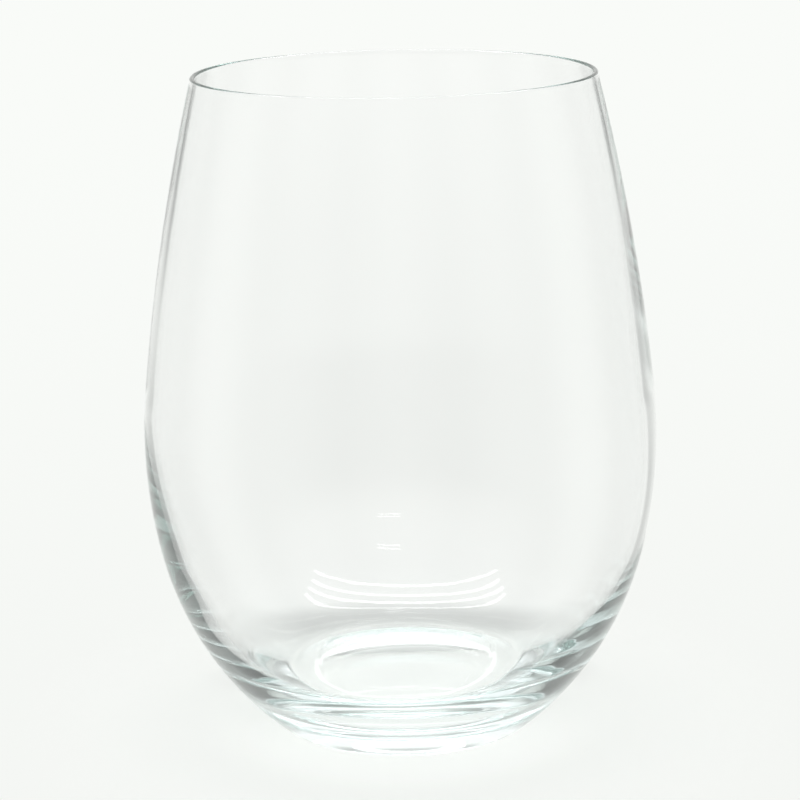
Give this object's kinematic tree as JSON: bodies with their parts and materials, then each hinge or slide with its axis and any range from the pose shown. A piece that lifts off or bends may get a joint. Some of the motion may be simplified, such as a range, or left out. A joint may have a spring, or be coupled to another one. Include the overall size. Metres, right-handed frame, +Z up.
{
  "type": "stemless wine glass",
  "caption": "Stemless wine glass: an egg-shaped clear glass bowl with a fine rounded rim, a thicker base and a shallow hollow under the foot.",
  "frame": {"origin": "on the table, under the middle of the foot", "axes": "+Z up along the axis of the glass; X and Y are level and alike, because the glass is turned"},
  "size_m": [0.095, 0.095, 0.122],
  "materials": {
    "clear_glass": "clear, fire-polished"
  },
  "bodies": {
    "root": {"glass": "clear_glass"}
  },
  "joints": []
}
